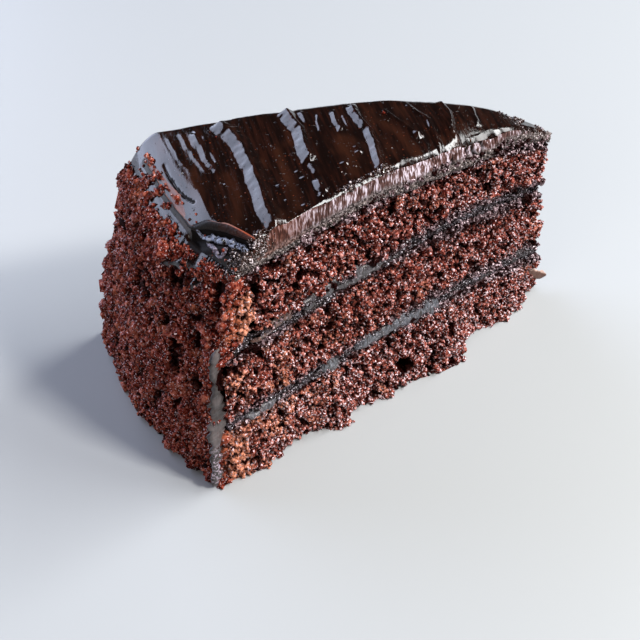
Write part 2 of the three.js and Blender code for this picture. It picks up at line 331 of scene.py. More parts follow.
def scatter(name, host, density, recipe):
    # crumbs over a piece where the density is above 0, joined into one mesh; each crumb keeps
    # what its host is marked with
    draw = np.random.default_rng(recipe["seed"])
    a, b, c = places(host)[trianglesOf(host)].transpose(1, 0, 2)
    cross = np.cross(b - a, c - a)
    area = np.linalg.norm(cross, axis=1)
    normal = cross / np.maximum(area, 1e-12)[:, None]
    area = area * density((a + b + c) / 3, normal)
    count = recipe["count"]
    face = draw.choice(len(area), count, p=area / area.sum())
    share = draw.random((count, 2))
    share = np.where(share.sum(1)[:, None] > 1, 1 - share, share)
    centre = a[face] + share[:, :1] * (b - a)[face] + share[:, 1:] * (c - a)[face]
    radius = recipe["radius"] * mm * np.exp(recipe["spread"] * draw.standard_normal(count))
    centre -= normal[face] * (radius * recipe["sunk"])[:, None]
    spin = randomTurns(draw, count) * radius[:, None, None]
    marks = {"tone": draw.random(count)}
    for attribute in host.data.attributes:
        if attribute.data_type == "FLOAT" and attribute.domain == "POINT":
            marks[attribute.name] = marksOf(host, attribute.name)[face]
    made, faces = [], []
    kept = {key: [] for key in marks}
    start = 0
    shapes = crumbShapes(6, recipe["seed"])
    for kind, (shape, triangles) in enumerate(shapes):
        mine = slice(kind, count, len(shapes))
        placed = np.einsum("nij,vj->nvi", spin[mine], shape) + centre[mine, None, :]
        made.append(placed.reshape(-1, 3))
        first = start + len(shape) * np.arange(len(placed))
        faces.append((triangles[None] + first[:, None, None]).reshape(-1, 3))
        for key, values in marks.items():
            kept[key].append(np.repeat(values[mine], len(shape)))
        start += placed.shape[0] * placed.shape[1]
    made = np.concatenate(made)
    made[:, 2] = np.maximum(made[:, 2], 0)
    piece = meshPiece(name, made, np.concatenate(faces).tolist())
    for key, values in kept.items():
        mark(piece, key, np.concatenate(values))
    return piece


def loft(name, grid):
    # a closed mesh through rings of (along, into, height), with a cap at each end
    count, ring = grid.shape[:2]
    k, j = np.meshgrid(np.arange(count - 1), np.arange(ring), indexing="ij")
    after = (j + 1) % ring
    walls = np.stack([k * ring + j, k * ring + after, (k + 1) * ring + after, (k + 1) * ring + j], -1)
    caps = [list(range(ring))[::-1], list(range((count - 1) * ring, count * ring))]
    points = onPart(grid[..., 0], grid[..., 1], grid[..., 2]).reshape(-1, 3)
    return meshPiece(name, points, walls.reshape(-1, 4).tolist() + caps)


def drawn(spots, step, rounds=12):
    # the rows of a short list of spots, filled in every step mm and rounded at the corners
    spots = np.array(spots, float)
    gone = np.concatenate([[0], np.cumsum(np.hypot(*np.diff(spots[:, :2], axis=0).T))])
    fine = np.arange(0, gone[-1], step)
    rows = np.stack([np.interp(fine, gone, column) for column in spots.T], 1)
    for _ in range(rounds):
        rows[1:-1] = (rows[:-2] + 2 * rows[1:-1] + rows[2:]) / 4
    return rows


def tapered(rows, reach):
    # 0 at both ends of a row, 1 from reach rows inwards
    row = np.arange(len(rows))
    return np.sqrt(np.clip(np.minimum(row, len(rows) - 1 - row) / reach, 0.01, 1))


def outwardOf(rows):
    # level and square to the way of the rows
    way = np.gradient(rows[:, :2], axis=0)
    way /= np.linalg.norm(way, axis=1)[:, None]
    return rowsOf(way[:, 1], -way[:, 0], 0)


def ribbon(name, centres, sides, outs, lumps, seed, power=1):
    # a closed bar with an oval section, carried along a row of places; sides and outs are the
    # section's half axes, lumps the share and the size of its unevenness
    angle = np.linspace(0, 2 * math.pi, 24, endpoint=False)
    across, out = np.cos(angle), np.sin(angle)
    out = np.sign(out) * np.abs(out) ** power
    gone = np.concatenate([[0], np.cumsum(np.linalg.norm(np.diff(centres, axis=0), axis=1))])
    uneven = 1 + lumps[0] * waves(gone[:, None] / lumps[1] + 0.4 * across, 1.5 * out, seed)
    section = sides[:, None] * across[:, None] + outs[:, None] * out[:, None]
    piece = loft(name, centres[:, None] + section * uneven[..., None])
    mark(piece, "way", np.repeat(gone / gone[-1], len(angle)))
    mark(piece, "side", np.tile(across, len(centres)))
    editAll(piece)
    bpy.ops.mesh.normals_make_consistent(inside=False)
    bpy.ops.object.mode_set(mode="OBJECT")
    return piece


def finished(piece, node, slot, *finishes):
    for finish in finishes:
        piece.data.materials.append(finish.material)
    pick(piece)
    bpy.ops.object.shade_smooth()
    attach(piece, "root")
    if node:
        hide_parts(node)


# camera, light and floor
camera = {"place": (-96.7, -185.0, 213.0), "heading": -25.51, "down": 44.21, "roll": 1.11, "lens": 56.25}
studio = {
    "lookAt": (0, 0, 0.04), "background": "8c8c8c", "backgroundLight": 0.15,
    "floor": "a6aaad", "floorSize": 6,
}
lights = [
    {"name": "window", "at": (-0.57, 0.95, 0.47), "size": (1.45, 1.0), "power": 20.5, "colour": "d8e2ff"},
    {"name": "key", "at": (0.55, -0.75, 1.0), "size": (0.2, 0.2), "power": 19, "colour": "fffaf4"},
    {"name": "strip", "at": (0.8, -0.18, 0.97), "size": (0.9, 0.3), "power": 17, "colour": "ffffff"},
    {"name": "tip", "at": (0.98, 0.22, 0.56), "size": (0.4, 0.3), "power": 3, "colour": "ffffff"},
    {"name": "left", "at": (-1.0, -0.6, 0.6), "size": (0.6, 0.6), "power": 3.0, "colour": "fff2e8"},
]

bpy.ops.object.camera_add()
eye = bpy.context.object
eye.data.lens = camera["lens"]
eye.data.clip_start = 0.01
aim = Matrix.Identity(4)
for angle, axis in [(camera["heading"], "Z"), (90 - camera["down"], "X"), (camera["roll"], "Z")]:
    aim = aim @ Matrix.Rotation(math.radians(angle), 4, axis)
eye.matrix_world = Matrix.Translation(Vector(camera["place"]) * mm) @ aim
bpy.context.scene.camera = eye

for light in lights:
    bpy.ops.object.light_add(type="AREA", location=light["at"])
    lamp = bpy.context.object
    lamp.name = light["name"]
    lamp.data.shape = "RECTANGLE"
    lamp.data.size, lamp.data.size_y = light["size"]
    lamp.data.energy = light["power"]
    lamp.data.color = tint(light["colour"])[:3]
    away = Vector(light["at"]) - Vector(studio["lookAt"])
    lamp.rotation_euler = away.to_track_quat("Z", "Y").to_euler()

world = bpy.data.worlds.new("studio")
bpy.context.scene.world = world
world.use_nodes = True
background = world.node_tree.nodes["Background"]
background.inputs["Color"].default_value = tint(studio["background"])
background.inputs["Strength"].default_value = studio["backgroundLight"]
bpy.context.scene.view_settings.view_transform = "Standard"

bpy.ops.mesh.primitive_plane_add(size=studio["floorSize"])
floor = bpy.context.object
floor.name = "floor"
floor.data.materials.append(Finish("paleFloor", Base_Color=studio["floor"], Roughness=0.5).material)
print("camera, light and floor are set")


# crumb finishes
spongeLook = {
    "dark": "380a06", "middle": "924a3d", "light": "cd8e86", "warmAndPaintedLight": "e09878",
    "paintedPoreShade": "1c0302", "poreShadeRange": (-0.8, 0.4),
    "glint": "e8d2da", "glintSize": 0.6, "glintAbove": (0.6, 0.665),
    "creamDark": "1a0c0c", "creamLight": "8a7e88", "creamy": 0.85,
    "grain": 0.8, "shine": 0.05, "roughness": 0.45, "bump": 0.3,
}
wallLook = {
    "dark": "2c0805", "middle": "74291c", "light": "ac6250", "warmAndPaintedLight": "bc7050",
    "paintedPoreShade": "1a0302", "poreShadeRange": (-1.6, 0.3),
    "glint": "d0b8bc", "glintSize": 0.5, "glintAbove": (0.61, 0.68),
    "creamDark": "1c1412", "creamLight": "8c8484", "creamy": 0.0,
    "grain": 0.9, "shine": 0.05, "roughness": 0.55, "bump": 0.3,
}


def crumbFinish(name, look):
    finish = Finish(name, Specular_IOR_Level=look["shine"])
    # the warm share is orange tint and painted light: it lifts the grain and adds orange
    warmAndPaintedLight = finish.attribute("warmAndPaintedLight")
    grain = finish.grain(look["grain"]) + 0.12 * warmAndPaintedLight
    lighter = finish.rise(grain, 0.36, 0.5)
    colour = finish.blend(lighter, look["dark"], look["middle"])
    colour = finish.shade(grain, 0.5, 0.66, colour, look["light"])
    orange = finish.rise(finish.noise(7) + warmAndPaintedLight, 0.55, 0.85)
    colour = finish.blend(orange * lighter * 0.75, colour, look["warmAndPaintedLight"])
    creamy = 1 - finish.rise(finish.attribute("cream") + 3.0 * (finish.noise(1.6) - 0.5), 0.0, 1.4)
    cream = finish.shade(grain, 0.38, 0.6, look["creamDark"], look["creamLight"])
    colour = finish.blend(creamy * look["creamy"], colour, cream)
    # painted glints, more of them where the sponge is moist
    glint = finish.noise(look["glintSize"], 1) + 0.035 * finish.attribute("paintedGlints")
    glint = finish.rise(glint, *look["glintAbove"])
    colour = finish.blend(glint, colour, look["glint"])
    # painted shade in the pores: darker where the relief sinks in, and on darker grains
    paintedPoreShade = 1 - finish.rise(finish.attribute("raised") + 0.8 * (grain - 0.5), *look["poreShadeRange"])
    colour = finish.blend(paintedPoreShade, colour, look["paintedPoreShade"])
    roughness = look["roughness"] - 0.25 * glint
    return finish.paint(colour, finish.noise(look["grain"] * 0.6, 3), look["bump"], Roughness=roughness)


spongeFinish = crumbFinish("sponge", spongeLook)
wallFinish = crumbFinish("sideCrumbs", wallLook)


# the slice's layers; near and far are the top's edges as (along, into) from the wall to the tip
coatShape = {
    "near": ((9.1, 0), (114.5, 0)),
    "far": ((14.1, 50.6), (113.5, 3.0)),
    "farBow": (11.7, 1.3),
    "farSlide": (0.19, 0.06),
    "wallBulge": 3.5,
    "bulgeEnds": 0.3,
    "cutLength": 122,
    "top": (75.6, 1.7, 20),  # height at the wall, rise in the middle, fall at the tip
    "under": (68.4, 1.7, 13.5),
    "dropPower": 5,
    "shoulder": 7.6,
    "shoulderPower": 1.75,
    "edgeRound": (1.2, 2.2),
    "edgeSlope": 0.34,
    "stations": 480,
    "across": 120,
    "bandSteps": 16,
    "underSteps": 8,
}


def onCut(normal):
    return abs(normal.z) < 0.75 and normal.x > -0.7


def onCutPlaces(centres, normals):
    return (np.abs(normals[:, 2]) < 0.9) & (normals[:, 0] > -0.85)


def shareOf(along, into):
    # 0 at the outer wall, 1 at the tip
    return np.clip(1 - np.hypot(coatShape["cutLength"] - along, into) / coatShape["cutLength"], 0, 1)


def layerHeight(along, into, layer):
    level, arch, drop = coatShape[layer]
    share = shareOf(along, into)
    return level + arch * np.sin(math.pi * share) - drop * share ** coatShape["dropPower"]


# fillings
fillingRelief = [
    {"pattern": "CLOUDS", "size": 3.0, "height": 0.8},
    {"pattern": "CLOUDS", "size": 0.9, "height": 0.9},
]
fillingCrumbs = {"count": 3000, "radius": 0.3, "spread": 0.4, "sunk": 0.3, "seed": 21}
fillingLook = {"dark": "1a0c0b", "light": "645a64", "patch": "170a0a", "paintedGlintSpeck": "e2dce8"}
creamReach = {"above": 1.4, "patches": 1.3, "tipwards": 1.4}


def makeFillingFinish(look):
    finish = Finish("filling", Specular_IOR_Level=0.2, Roughness=0.35)
    colour = finish.shade(finish.grain(0.6), 0.4, 0.6, look["dark"], look["light"])
    colour = finish.blend(finish.patches(2.4, 2, 0.44, 0.58) * 0.85, colour, look["patch"])
    # painted glints as light specks
    colour = finish.blend(finish.patches(0.45, 1, 0.61, 0.68), colour, look["paintedGlintSpeck"])
    return finish.paint(colour, finish.noise(0.5, 3), 0.25)


def bandOf(node):
    # a filling's top and bottom along the near cut, by share
    along, into, height = onSlice(places(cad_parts[node]))
    near = into < 1.5
    step = (shareOf(along, into)[near] * 20).astype(int)
    steps = np.unique(step)
    top = [height[near][step == one].max() for one in steps]
    bottom = [height[near][step == one].min() for one in steps]
    return steps / 20 + 0.025, top, bottom


def creamGap(points):
    # millimetres above or below the nearest ganache, less than 0 where it has smeared the sponge
    along, into, height = onSlice(points)
    share = shareOf(along, into)
    gap = layerHeight(along, into, "under") - creamReach["above"] - height
    for node in ("filling_lower", "filling_upper"):
        steps, top, bottom = bandOf(node)
        away = np.maximum(height - np.interp(share, steps, top), np.interp(share, steps, bottom) - height)
        gap = np.minimum(gap, away)
    gap = gap - creamReach["patches"] * np.maximum(waves(share * 22, height / 9, 12), 0)
    return gap - creamReach["tipwards"] * smooth(along, 45, 75)


def fillingDents(points):
    # hollows between the sponges where the filling stops short of the cut
    along, into, height = onSlice(points)
    return 0.9 * waves(along / 3.2, height / 2.2 + into / 4, 77) - 0.6


fillingFinish = makeFillingFinish(fillingLook)
for level in ("Lower", "Upper"):
    node, name = "filling_" + level.lower(), "filling" + level
    filling = copyOfNode(node, name)
    refine(filling, onCut, 7)
    roughen(filling, fillingRelief, fillingDents)
    finished(filling, node, "filling", fillingFinish)
    finished(scatter(name + "Crumbs", filling, onCutPlaces, fillingCrumbs), None, "filling", fillingFinish)
    print(name, len(filling.data.polygons))

# smooth smears that the knife left on the near cut: (along, top, bottom) from end to end
smears = [
    {"name": "upperSmear", "colour": "6e5048", "spots": [
        (12, 47.2, 45.9), (14, 47.4, 45.5), (16.3, 49.1, 45.7), (19.2, 50.6, 47.0), (22.2, 50.8, 47.6),
        (24.8, 51.0, 48.0), (26.6, 50.6, 48.0)]},
    {"name": "upperSmearRight", "colour": "4e4b50", "spots": [
        (26.8, 50.4, 47.4), (30, 50.2, 46.4), (32.2, 51.0, 47.0), (35.4, 51.4, 47.2), (38.5, 51.3, 47.2),
        (42.2, 51.6, 46.8), (46.6, 51.2, 46.3), (50.2, 50.9, 47.4), (54.5, 49.4, 47.6)]},
    {"name": "lowerSmearLeft", "colour": "6c6c74", "spots": [
        (9.2, 22.0, 20.4), (12, 21.4, 19.5), (14.4, 22.4, 19.0), (17.6, 22.2, 19.5), (19.4, 22.0, 20.4)]},
    {"name": "lowerSmearMiddle", "colour": "686c74", "spots": [
        (33.4, 22.2, 20.4), (35, 24.2, 19.7), (37.5, 24.6, 19.0), (40.4, 22.4, 19.4)]},
    {"name": "lowerSmear", "colour": "5e626c", "spots": [
        (45.9, 23.0, 21.0), (48, 24.3, 20.4), (50, 25.2, 20.2), (54, 24.7, 20.4), (58, 24.6, 20.4),
        (63, 24.6, 19.4), (70.7, 23.7, 17.6), (75.8, 22.4, 17.3), (78.4, 20.6, 17.8)]},
    {"name": "lowerSmearRight", "colour": "201c22", "shine": 0.15, "spots": [
        (87.5, 22.0, 20.2), (92.7, 23.0, 19.8), (97.6, 22.6, 19.7), (102.6, 22.1, 18.8), (107.4, 22.0, 18.2),
        (112, 21.3, 18.0), (116, 19.6, 17.2)]},
]
smearShape = {"step": 0.3, "depth": 1.2, "out": 0.9, "ragged": 0.7, "wave": 1.1, "lumps": (0.2, 1.6)}
smearLook = {"dark": "241c1a", "fibre": "c8c2cc", "fibres": 0.55}


def makeSmear(smear, seed):
    along, top, bottom = drawn(smear["spots"], smearShape["step"]).T
    top = top + smearShape["ragged"] * waves(along / smearShape["wave"], 0, seed)
    bottom = bottom + smearShape["ragged"] * waves(along / smearShape["wave"], 9, seed)
    ends = tapered(along, 6)
    centres = rowsOf(along, smearShape["depth"] - smearShape["out"], (top + bottom) / 2)
    sides = rowsOf(0, 0, (top - bottom) / 2 * ends)
    outs = rowsOf(0, -smearShape["depth"] * ends, 0)
    return ribbon(smear["name"], centres, sides, outs, smearShape["lumps"], seed)


def makeSmearFinish(smear):
    finish = Finish(smear["name"], Roughness=0.4, Specular_IOR_Level=smear.get("shine", 0.5))
    lines = finish.noise(0.5, 2, (1, 1, 5))
    colour = finish.shade(lines, 0.3, 0.7, smearLook["dark"], smear["colour"])
    fibres = finish.patches(0.45, 2, 0.6, 0.66) * smearLook["fibres"]
    colour = finish.blend(fibres, colour, smearLook["fibre"])
    return finish.paint(colour, lines + finish.noise(1.2, 2), 0.15)


for number, smear in enumerate(smears):
    finished(makeSmear(smear, 40 + number), None, "filling", makeSmearFinish(smear))

# sponges
spongeRelief = [
    {"pattern": "CLOUDS", "size": 5.0, "height": 1.4},
    {"pattern": "CLOUDS", "size": 1.9, "height": -2.0, "middle": 0.2,
     "with": {"contrast": 3.0, "intensity": 0.75}},
    {"pattern": "VORONOI", "size": 0.9, "height": -1.2, "middle": 0.5},
    {"pattern": "CLOUDS", "size": 0.6, "height": 0.8},
]
spongeCrumbs = {"count": 14000, "radius": 0.3, "spread": 0.35, "sunk": 0.3, "seed": 3}
# deep holes in the near cut, dark from their shadow and the painted pore shade: (along, height, half width,
# half height, depth)
holes = [
    (43.8, 61.5, 1.0, 1.0, 3.5), (26.7, 59.7, 1.1, 1.9, 3.5), (14.5, 61.0, 1.0, 1.6, 3.5),
    (11.7, 48.6, 2.2, 1.0, 3.5), (36.4, 35.4, 1.2, 1.0, 3.5), (33.8, 29.8, 1.2, 0.9, 3.0),
    (14.3, 41.2, 1.4, 1.1, 3.5), (20.3, 34.4, 1.5, 1.0, 3.5), (62.8, 6.0, 2.6, 2.3, 5.0),
    (81.5, 9.6, 2.0, 1.2, 3.5), (89.7, 27.8, 2.4, 0.9, 3.5), (82.5, 35.8, 1.0, 1.6, 3.5),
    (80.7, 31.7, 1.5, 0.9, 3.0), (92.3, 40.6, 0.9, 1.8, 3.5), (99.8, 37.5, 1.3, 1.2, 3.5),
    (62.8, 53.6, 1.4, 2.0, 4.0), (66.8, 61.2, 1.5, 1.2, 3.5), (72.0, 56.1, 1.7, 1.5, 4.0),
    (75.6, 58.8, 1.2, 1.3, 3.5), (69.9, 67.1, 1.7, 0.9, 3.0), (55.2, 58.2, 1.3, 1.2, 3.5),
    (69.1, 53.7, 1.0, 1.2, 3.5),
]
deepestHole = 6
nearBand = 4  # how far in from the near cut its holes and its warm tint reach


def spongeDents(points):
    along, into, height = onSlice(points)
    dent = 0 * along
    ragged = 0.5 * waves(along / 1.2, height / 1.2, 16)
    for a, h, wide, tall, depth in holes:
        away = ((along - a) / wide) ** 2 + ((height - h) / tall) ** 2 + ragged
        dent = np.minimum(dent, -depth * np.exp(-away ** 2 * np.sign(away)))
    return np.maximum(dent, -deepestHole) * (into < nearBand)


def warmthAndPaintedLight(points):
    # more orange at the near cut's outer end, in patches high and low; the broad outer term is painted light,
    # lighter towards the outer end and the bottom of the cut
    along, into, height = onSlice(points)
    upper = bell(along, 9, 4.5, 4) * bell(height, 56, 6.5, 4)
    lower = bell(along, 5, 5, 4) * bell(height, 8, 10, 4)
    outer = smooth(-along, -60, -15) * smooth(-height, -62, -25)
    return (0.8 * upper + 0.3 * lower + 0.12 * outer) * (into < nearBand)


def paintedGlintShare(points):
    # more painted glints on the moist sponge low on the near cut and at its tip, beside the fillings
    along, into, height = onSlice(points)
    low = smooth(-height, -24, -15) * smooth(along, 8, 22)
    tip = smooth(along, 72, 88) * (0.6 + 0.4 * np.sin(height / 4))
    return np.clip(low + 0.7 * tip, 0, 1)


for level in ("Bottom", "Middle", "Top"):
    node, name = "sponge_" + level.lower(), "sponge" + level
    sponge = copyOfNode(node, name)
    refine(sponge, onCut, 10)
    roughen(sponge, spongeRelief, spongeDents)
    for key, measure in [("cream", creamGap), ("warmAndPaintedLight", warmthAndPaintedLight), ("paintedGlints", paintedGlintShare)]:
        mark(sponge, key, measure(places(sponge)))
    finished(sponge, node, "sponge", spongeFinish)
    crumbs = scatter(name + "Crumbs", sponge, onCutPlaces, spongeCrumbs)
    finished(crumbs, None, "sponge", spongeFinish)
    print(name, len(sponge.data.polygons), len(crumbs.data.polygons))


# glossy ganache
ganacheLook = {
    "dark": "0b0302", "light": "1e0b06", "glow": "3a1e12", "fleck": "6e3420", "patch": "744434",
    "streaks": ((1, 12, 1), -10), "sheen": 0.08, "streakSheen": 0.12, "patchSheen": 0.3,
}


def makeGanacheFinish(look):
    finish = Finish("ganache")
    streak = finish.noise(0.9, 2, *look["streaks"])
    fine = finish.noise(0.4, 2, *look["streaks"])
    colour = finish.shade(streak, 0.4, 0.7, look["dark"], look["light"])
    glow = finish.patches(5, 2, 0.5, 0.8, (1, 3, 1), -10) * 0.5
    colour = finish.blend(glow + finish.attribute("glow"), colour, look["glow"])
    colour = finish.blend(finish.patches(0.7, 1, 0.72, 0.77) * 0.5, colour, look["fleck"])
    patch = finish.rise(finish.attribute("patch") + finish.noise(1.2, 2) - 0.5, 0.3, 0.6)
    colour = finish.blend(patch, colour, look["patch"])
    sheen = look["sheen"] + look["streakSheen"] * finish.rise(fine, 0.45, 0.7)
    bumps = 0.2 * fine + 0.2 * streak - finish.patches(0.9, 2, 0.66, 0.76) + 0.2 * finish.noise(1.5, 2)
    return finish.paint(colour, bumps, 0.09, Roughness=sheen + look["patchSheen"] * patch)


ganacheFinish = makeGanacheFinish(ganacheLook)


# side coat
coatRelief = [
    {"pattern": "CLOUDS", "size": 5.0, "height": 1.6},
    {"pattern": "VORONOI", "size": 2.2, "height": -1.3, "middle": 0.5},
    {"pattern": "VORONOI", "size": 1.2, "height": -1.0, "middle": 0.5},
    {"pattern": "CLOUDS", "size": 0.8, "height": 0.8},
]
coatCrumbs = {"count": 16000, "radius": 0.36, "spread": 0.55, "sunk": 0.3, "seed": 8}
coatClumps = {"count": 260, "radius": 0.8, "spread": 0.3, "sunk": 0.15, "seed": 14}
bareCoat = {"from": 54, "to": 68, "patch": 3.2, "nearer": 0.35}
grooveDepth = 2.3
farFromCream = 4.0  # where no ganache is smeared over the crumbs


def onWall(normal):
    return abs(normal.z) < 0.75 and normal.x < 0.6


def wallDents(points):
    # upright pits and grooves
    along, into, height = onSlice(points)
    grooves = smooth(waves(into / 2.4, height / 6, 61), 0.35, 0.8)
    pits = smooth(waves(into / 1.5, height / 3, 62), 0.55, 0.9)
    return -grooveDepth * (grooves + pits)


def bareness(points):
    # 1 where smooth ganache shows between the crumbs, high on the wall
    along, into, height = onSlice(points)
    uneven = waves(into / bareCoat["patch"], height / bareCoat["patch"], 63) + 0.4 * waves(into, height, 64)
    level = (height - bareCoat["from"]) / (bareCoat["to"] - bareCoat["from"])
    level = level - bareCoat["nearer"] * smooth(into, 18, 34) - 0.7 * smooth(-into, -9, -6)
    return smooth(level + 0.55 * uneven, 0.55, 0.9)


def wallWarmthAndPaintedLight(points):
    # half the near cut's warm share, painted light included, only in the skin of the near cut
    _, into, _ = onSlice(points)
    return 0.5 * warmthAndPaintedLight(points) * smooth(-into, -2.2, -0.6)


def onWallPlaces(centres, normals):
    sides = (np.abs(normals[:, 2]) < 0.9) & (normals[:, 0] < 0.0)
    return sides * (1 - 0.93 * bareness(centres))


def onClumps(centres, normals):
    along, into, height = onSlice(centres)
    return onWallPlaces(centres, normals) * smooth(waves(into / 4, height / 4, 15), 0.1, 0.6)


def leanIn(piece):
    # tilts the coat's upper edge in under the shoulder of the top coat
    along, into, height = onSlice(places(piece))
    lean = 0.9 + 2.3 * np.sin(math.pi * np.clip(into / 50, 0, 1))
    piece.data.vertices.foreach_set("co", onPart(along + lean * smooth(height, 60, 69), into, height).ravel())


sideCoat = copyOfNode("crumb_coat_side", "sideCoat")
refine(sideCoat, onWall, 8)
leanIn(sideCoat)
roughen(sideCoat, coatRelief, wallDents, lambda points: 0.85 * bareness(points))
evenOut(sideCoat, bareness(centresOf(sideCoat)) > 0.35, 15)
mark(sideCoat, "cream", farFromCream)
mark(sideCoat, "warmAndPaintedLight", wallWarmthAndPaintedLight(places(sideCoat)))
finished(sideCoat, "crumb_coat_side", "crumb_coat", wallFinish, ganacheFinish)
sideCoat.data.polygons.foreach_set("material_index", (bareness(centresOf(sideCoat)) > 0.5).astype(int))
finished(scatter("sideCoatCrumbs", sideCoat, onWallPlaces, coatCrumbs), None, "crumb_coat", wallFinish)
finished(scatter("sideCoatClumps", sideCoat, onClumps, coatClumps), None, "crumb_coat", wallFinish)
print("sideCoat", len(sideCoat.data.polygons))

# the knife's smooth cut through the side coat: (height, left, right) down the corner
stripSpots = [
    (49.5, 2.2, 4.6), (48, 1.2, 4.4), (45, 0.4, 3.6), (43, 0.3, 2.3), (41.4, 0.9, 1.8), (39.4, 0.7, 1.5),
    (36.7, 0.4, 1.8), (34.5, 0.0, 2.9), (31.5, -0.4, 3.2), (28.8, -0.4, 3.7), (26.2, -0.7, 3.5),
    (23.8, -1.2, 3.2), (20.7, -1.3, 2.5), (18, -1.1, 1.5), (14.8, -1.1, 1.1), (11, -1.3, 1.0),
    (7.6, -1.6, 0.9), (3, -2.0, 1.1), (0.8, -1.4, 0.4),
]
stripShape = {"step": 0.35, "into": 0.5, "depth": 0.7, "ragged": 0.6, "wave": 0.9, "lumps": (0.25, 1.0)}
stripLook = {"dark": "2c2625", "light": "645a5a", "lilac": "b4a4b4"}


def makeStrip(name):
    height, left, right = drawn(stripSpots, stripShape["step"]).T
    left = left + stripShape["ragged"] * waves(height / stripShape["wave"], 0, 50)
    right = right + stripShape["ragged"] * waves(height / stripShape["wave"], 7, 51)
    ends = tapered(height, 5)
    centres = rowsOf((left + right) / 2, stripShape["into"], height)
    outs = rowsOf(0, -stripShape["depth"] * ends, 0)
    piece = ribbon(name, centres, rowsOf((right - left) / 2 * ends, 0, 0), outs, stripShape["lumps"], 52, 0.6)
    mark(piece, "low", smooth(-places(piece)[:, 2] / mm, -20, -12))
    return piece


def makeStripFinish(look):
    finish = Finish("sideCoatCut", Roughness=0.42)
    colour = finish.blend(finish.patches(4, 3, 0.35, 0.7, (1, 1, 3)), look["dark"], look["light"])
    lilac = finish.patches(0.7, 3, 0.5, 0.65) * finish.attribute("low")
    colour = finish.blend(lilac, colour, look["lilac"])
    return finish.paint(colour, finish.noise(1.5, 3, (1, 1, 2)), 0.25)


finished(makeStrip("sideCoatCut"), None, "crumb_coat", makeStripFinish(stripLook))

# a loose flake at the foot of the tip: (along, height, half height)
flakeSpots = [
    (111, 13.5, 0.4), (115, 11.0, 1.2), (119, 8.0, 1.8), (122.5, 5.7, 1.5), (125.0, 4.5, 1.1),
    (126, 4.1, 0.4),
]
flakeShape = {"step": 0.4, "into": 1.2, "outwards": 0.15, "wide": 0.35, "thick": 0.35, "lumps": (0.35, 1.2)}
flakeLook = {"dark": "54362a", "light": "b89c90"}


def makeFlake(name):
    along, height, half = drawn(flakeSpots, flakeShape["step"]).T
    into = flakeShape["into"] - flakeShape["outwards"] * (along - flakeSpots[0][0])
    sides = rowsOf(flakeShape["wide"] * half, 0, half)
    outs = rowsOf(0 * half, -flakeShape["thick"], 0)
    return ribbon(name, rowsOf(along, into, height), sides, outs, flakeShape["lumps"], 81)


def makeFlakeFinish(look):
    finish = Finish("tipFlake", Roughness=0.45, Specular_IOR_Level=0.3)
    upper = finish.attribute("side") + 0.6 * (finish.noise(0.8, 2) - 0.5)
    return finish.paint(finish.shade(upper, 0.5, 0.9, look["dark"], look["light"]), finish.noise(0.8, 2), 0.2)


finished(makeFlake("tipFlake"), None, "sponge", makeFlakeFinish(flakeLook))


# top coat
# crests of the spatula's ridges: the widths of both flanks, the height, and the line from the near
# end to the far end
ridges = [
    (2.3, 3.0, 1.4, [(19.7, -2), (22.1, 6), (25.9, 13.8), (29.9, 22.4), (32.4, 28.9), (34.2, 40)]),
    (2.4, 1.8, 1.4, [(41.2, 14), (43.6, 18.4), (47.3, 25.2), (50, 34)]),
    (1.4, 1.4, 0.75, [(36.1, 2.5), (38.2, 7.4)]),
    (0.8, 1.2, 0.45, [(38.9, 9), (40.4, 12.4), (41.4, 14.5)]),
    (1.6, 1.6, 1.1, [(52.6, 0), (53.2, 2.3), (57.2, 9.1), (60.6, 15.3), (64.2, 25.5)]),
    (0.9, 1.0, 0.5, [(50.6, 26), (52.2, 31)]),
    (0.6, 0.8, 0.28, [(50.7, 21.5), (55, 28)]),
    (1.1, 1.0, 0.6, [(55, 18.5), (59, 26.5)]),
    (0.6, 0.8, 0.3, [(57.3, 17.8), (60.2, 24)]),
    (0.8, 0.8, 0.4, [(70.2, 7), (70, 13), (70, 20)]),
    (0.6, 1.0, 0.45, [(71.1, -1), (72.3, 2.9), (76.7, 10.6), (77.2, 19)]),
    (4.0, 0.8, 0.9, [(77, -1), (80.3, 5.5), (84.6, 11), (86.5, 16)]),
    (0.5, 0.6, 0.5, [(88.8, 4.5), (90.6, 7), (93.2, 11.5)]),
    (0.35, 0.6, 0.13, [(16.8, 26.5), (18.4, 34.6), (21.2, 43.5)]),
    (0.4, 0.6, 0.22, [(19.8, 25), (21.2, 30.4), (22.4, 36.9), (24.6, 43)]),
    (1.0, 0.9, 0.5, [(22, 23.8), (23.2, 30.1), (25.2, 34.9), (26.8, 40.5)]),
    (0.6, 0.8, 0.35, [(27.4, 35.5), (28, 41.5)]),
    (0.4, 0.7, 0.2, [(24, 25.5), (26.4, 34)]),
]
# small glossy drops: (along, into, radius, height)
drops = [
    (36.2, 9.7, 0.8, 0.5), (36.6, 12.5, 0.6, 0.4), (29.6, 13.5, 0.8, 0.5), (29.9, 11.0, 0.6, 0.45),
    (30.9, 9.8, 0.5, 0.3), (46.9, 8.0, 0.9, 0.6), (48.1, 5.8, 0.4, 0.35), (53.5, 11.2, 0.9, 0.5),
    (52.6, 9.4, 0.8, 0.6), (27.8, 5.7, 0.4, 0.35), (29.8, 1.6, 0.7, 0.5), (34.8, 2.2, 0.6, 0.4),
    (69.8, 7.2, 1.1, 0.7), (67.5, 15.8, 0.6, 0.4), (21.0, 19.5, 0.3, 0.25), (24.1, 27.5, 0.4, 0.3),
]
